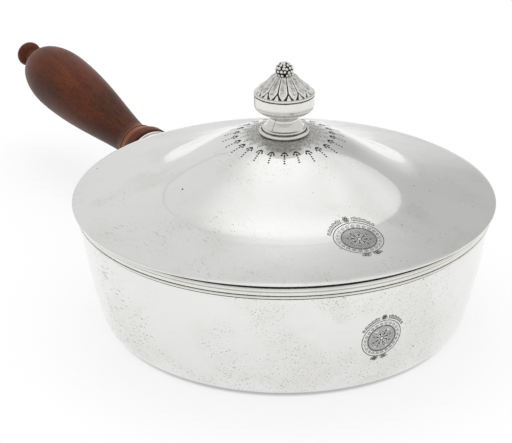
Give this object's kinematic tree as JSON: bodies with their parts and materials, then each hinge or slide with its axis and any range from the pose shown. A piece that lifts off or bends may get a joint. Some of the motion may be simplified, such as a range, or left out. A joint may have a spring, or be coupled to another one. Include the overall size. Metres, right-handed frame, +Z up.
{
  "type": "covered vegetable dish",
  "caption": "Round covered silver vegetable dish with a turned wooden side handle and a lift-off domed cover with a leaf and berry finial.",
  "frame": {"origin": "centre of the dish's flat underside", "axes": "+Z up through the finial, and the handle points along -X, rising outwards"},
  "size_m": [0.4535, 0.24, 0.1532],
  "materials": {
    "silver": "polished, with the fine scratches of use",
    "chased_silver": "cast and chased, polished on the high parts and dark in the recesses",
    "wood": "turned hardwood, waxed to a low gloss"
  },
  "bodies": {
    "dish": {"dish_body": "silver", "rim_wire": "silver", "socket_plate": "silver", "handle_socket": "silver", "socket_mouth_ring": "silver", "wooden_handle": "wood", "handle_pin": "silver"},
    "cover": {"cover_shell": "silver", "cover_bezel": "silver", "finial_stem": "chased_silver", "finial_drum": "chased_silver", "finial_leaf_cap": "chased_silver", "finial_berry": "chased_silver", "finial_stud": "silver", "finial_washer": "silver", "finial_nut": "silver"}
  },
  "joints": [
    {"name": "cover_lift", "type": "slide", "parent": "dish", "child": "cover", "axis": [0, 0, 1], "range_m": [0, 0.12]}
  ]
}
